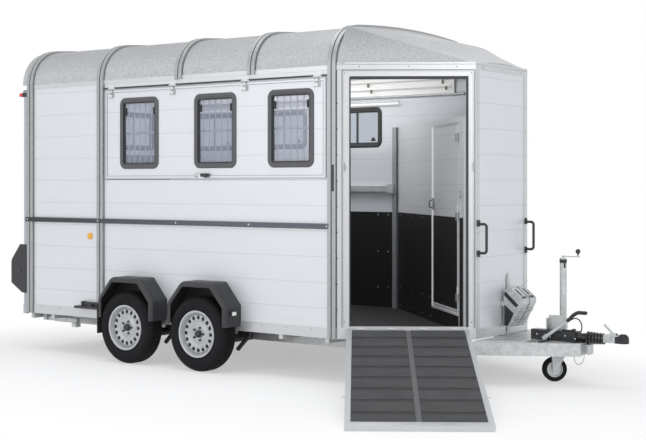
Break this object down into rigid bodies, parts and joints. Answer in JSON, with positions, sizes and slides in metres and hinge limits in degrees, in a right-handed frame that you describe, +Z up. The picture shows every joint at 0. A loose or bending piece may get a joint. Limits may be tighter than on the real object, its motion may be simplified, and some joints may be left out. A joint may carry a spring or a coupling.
{
  "type": "horse trailer",
  "caption": "Closed horse trailer on tandem axles with an A-frame drawbar, jockey wheel, open side ramp, rear ramp, barred window flap and tack room.",
  "frame": {"origin": "middle of the towing ball's socket", "axes": "+X forward along the drawbar, +Y to the trailer's left, +Z up"},
  "size_m": [6.0295, 3.9767, 2.962],
  "materials": {
    "wall_panel": "anodised planks, satin",
    "frame_profile": "satin profiles",
    "inner_panel": "light grey coated panel",
    "roof_skin": "grey glass fibre with a fine grain",
    "galvanised": "hot dip galvanised",
    "axle_steel": "dark coated steel",
    "floor_wood": "sealed plywood",
    "mat_rubber": "ribbed rubber",
    "black_plastic": "black moulded plastic",
    "black_steel": "black coated steel",
    "window_bars": "light grey coated rods",
    "window_glass": "lightly tinted pane",
    "tyre": "black tread rubber",
    "wheel_silver": "silver lacquered steel"
  },
  "bodies": {
    "trailer": {"chassis": "galvanised", "drawbar": "galvanised", "floor_panel": "floor_wood", "floor_mat": "mat_rubber", "side_wall_right": "wall_panel", "side_wall_left": "wall_panel", "front_wall": "wall_panel", "corner_frame_right": "frame_profile", "corner_wall_left": "wall_panel", "rear_portal": "frame_profile", "roof_shell": "roof_skin", "front_hood": "roof_skin", "roof_bows": "frame_profile", "eave_and_sill_trims": "frame_profile", "rubbing_strips": "black_plastic", "left_window_frames": "black_plastic", "left_window_glass": "window_glass", "kick_boards": "black_plastic", "tack_partition": "inner_panel", "breast_rail": "galvanised", "ceiling_rails": "galvanised", "fenders": "black_plastic", "axles": "axle_steel", "tail_lamps": "black_plastic", "marker_lamps": "black_plastic", "grab_handles": "black_plastic", "wheel_chocks": "galvanised", "overrun_housing": "black_steel", "bellows": "mat_rubber", "coupling_head": "black_steel", "handbrake_lever": "black_steel", "jockey_mast": "galvanised", "jockey_crank": "galvanised"},
    "jockey_castor": {"jockey_fork": "galvanised"},
    "jockey_wheel": {"jockey_tyre": "tyre", "jockey_hub": "galvanised"},
    "side_ramp": {"side_ramp": "frame_profile", "side_ramp_mat": "mat_rubber"},
    "rear_ramp": {"rear_ramp": "wall_panel", "rear_ramp_mat": "mat_rubber", "rear_window_frames": "black_plastic", "rear_window_glass": "window_glass"},
    "side_flap": {"side_flap": "wall_panel", "flap_window_frames": "black_plastic", "flap_window_glass": "window_glass", "flap_window_bars": "window_bars"},
    "inner_door": {"inner_door": "frame_profile"},
    "tack_door": {"tack_door": "wall_panel"},
    "prop_stand_right": {"prop_stand_right": "galvanised"},
    "prop_stand_left": {"prop_stand_left": "galvanised"},
    "wheel_front_right": {"tyre_front_right": "tyre", "rim_front_right": "wheel_silver"},
    "wheel_front_left": {"tyre_front_left": "tyre", "rim_front_left": "wheel_silver"},
    "wheel_rear_right": {"tyre_rear_right": "tyre", "rim_rear_right": "wheel_silver"},
    "wheel_rear_left": {"tyre_rear_left": "tyre", "rim_rear_left": "wheel_silver"}
  },
  "joints": [
    {"name": "wheel_front_right_spin", "type": "hinge", "parent": "trailer", "child": "wheel_front_right", "pos_m": [-3.343, -1.1795, -0.061], "axis": [0, 1, 0], "continuous": true},
    {"name": "wheel_front_left_spin", "type": "hinge", "parent": "trailer", "child": "wheel_front_left", "pos_m": [-3.343, 1.1795, -0.061], "axis": [0, 1, 0], "continuous": true},
    {"name": "wheel_rear_right_spin", "type": "hinge", "parent": "trailer", "child": "wheel_rear_right", "pos_m": [-4.203, -1.1795, -0.061], "axis": [0, 1, 0], "continuous": true},
    {"name": "wheel_rear_left_spin", "type": "hinge", "parent": "trailer", "child": "wheel_rear_left", "pos_m": [-4.203, 1.1795, -0.061], "axis": [0, 1, 0], "continuous": true},
    {"name": "jockey_swivel", "type": "hinge", "parent": "trailer", "child": "jockey_castor", "pos_m": [-0.585, 0.142, -0.085], "axis": [0, 0, 1], "continuous": true},
    {"name": "jockey_spin", "type": "hinge", "parent": "jockey_castor", "child": "jockey_wheel", "pos_m": [-0.64273, 0.09897, -0.285], "axis": [0.5976, -0.8018, 0], "continuous": true},
    {"name": "side_ramp_hinge", "type": "hinge", "parent": "trailer", "child": "side_ramp", "pos_m": [-1.50987, -0.7583, 0.06], "axis": [-0.8177, -0.5757, 0], "range_deg": [0, 101.17]},
    {"name": "rear_ramp_hinge", "type": "hinge", "parent": "trailer", "child": "rear_ramp", "pos_m": [-5.742, 0, 0.003], "axis": [0, -1, 0], "range_deg": [0, 100.5]},
    {"name": "side_flap_hinge", "type": "hinge", "parent": "trailer", "child": "side_flap", "pos_m": [-3.365, -1.084, 2.104], "axis": [-1, 0, 0], "range_deg": [0, 90]},
    {"name": "inner_door_hinge", "type": "hinge", "parent": "trailer", "child": "inner_door", "pos_m": [-1.28707, -0.3591, 0.915], "axis": [0, 0, 1], "range_deg": [0, 75]},
    {"name": "tack_door_hinge", "type": "hinge", "parent": "trailer", "child": "tack_door", "pos_m": [-1.22469, 0.55018, 0.915], "axis": [0, 0, -1], "range_deg": [0, 110]},
    {"name": "prop_stand_right_fold", "type": "hinge", "parent": "trailer", "child": "prop_stand_right", "pos_m": [-5.645, -0.885, -0.085], "axis": [0, 1, 0], "range_deg": [0, 33.5]},
    {"name": "prop_stand_left_fold", "type": "hinge", "parent": "trailer", "child": "prop_stand_left", "pos_m": [-5.645, 0.885, -0.085], "axis": [0, 1, 0], "range_deg": [0, 33.5]}
  ]
}
